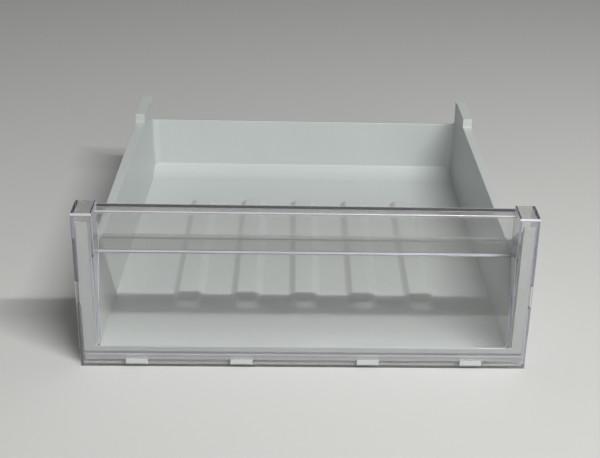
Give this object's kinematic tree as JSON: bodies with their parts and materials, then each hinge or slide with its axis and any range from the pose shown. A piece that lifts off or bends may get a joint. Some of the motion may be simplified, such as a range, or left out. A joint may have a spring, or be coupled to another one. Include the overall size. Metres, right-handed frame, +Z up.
{
  "type": "freezer drawer",
  "caption": "Pull-out freezer drawer: open white tub with runner rims, ridged floor and low rear wall, and a clear clip-fitted front with a full-width finger recess.",
  "frame": {"origin": "bottom centre of the bounding box, on the surface that the drawer stands on", "axes": "+Z up, front panel towards -Y and rear wall towards +Y, +X to the right seen from the front"},
  "size_m": [0.45, 0.471, 0.17],
  "materials": {
    "white_plastic": "opaque light grey-white polystyrene, semi-gloss",
    "clear_plastic": "clear polystyrene, polished, violet-grey at its edges"
  },
  "bodies": {
    "root": {"tub": "white_plastic", "front_panel": "clear_plastic"}
  },
  "joints": []
}
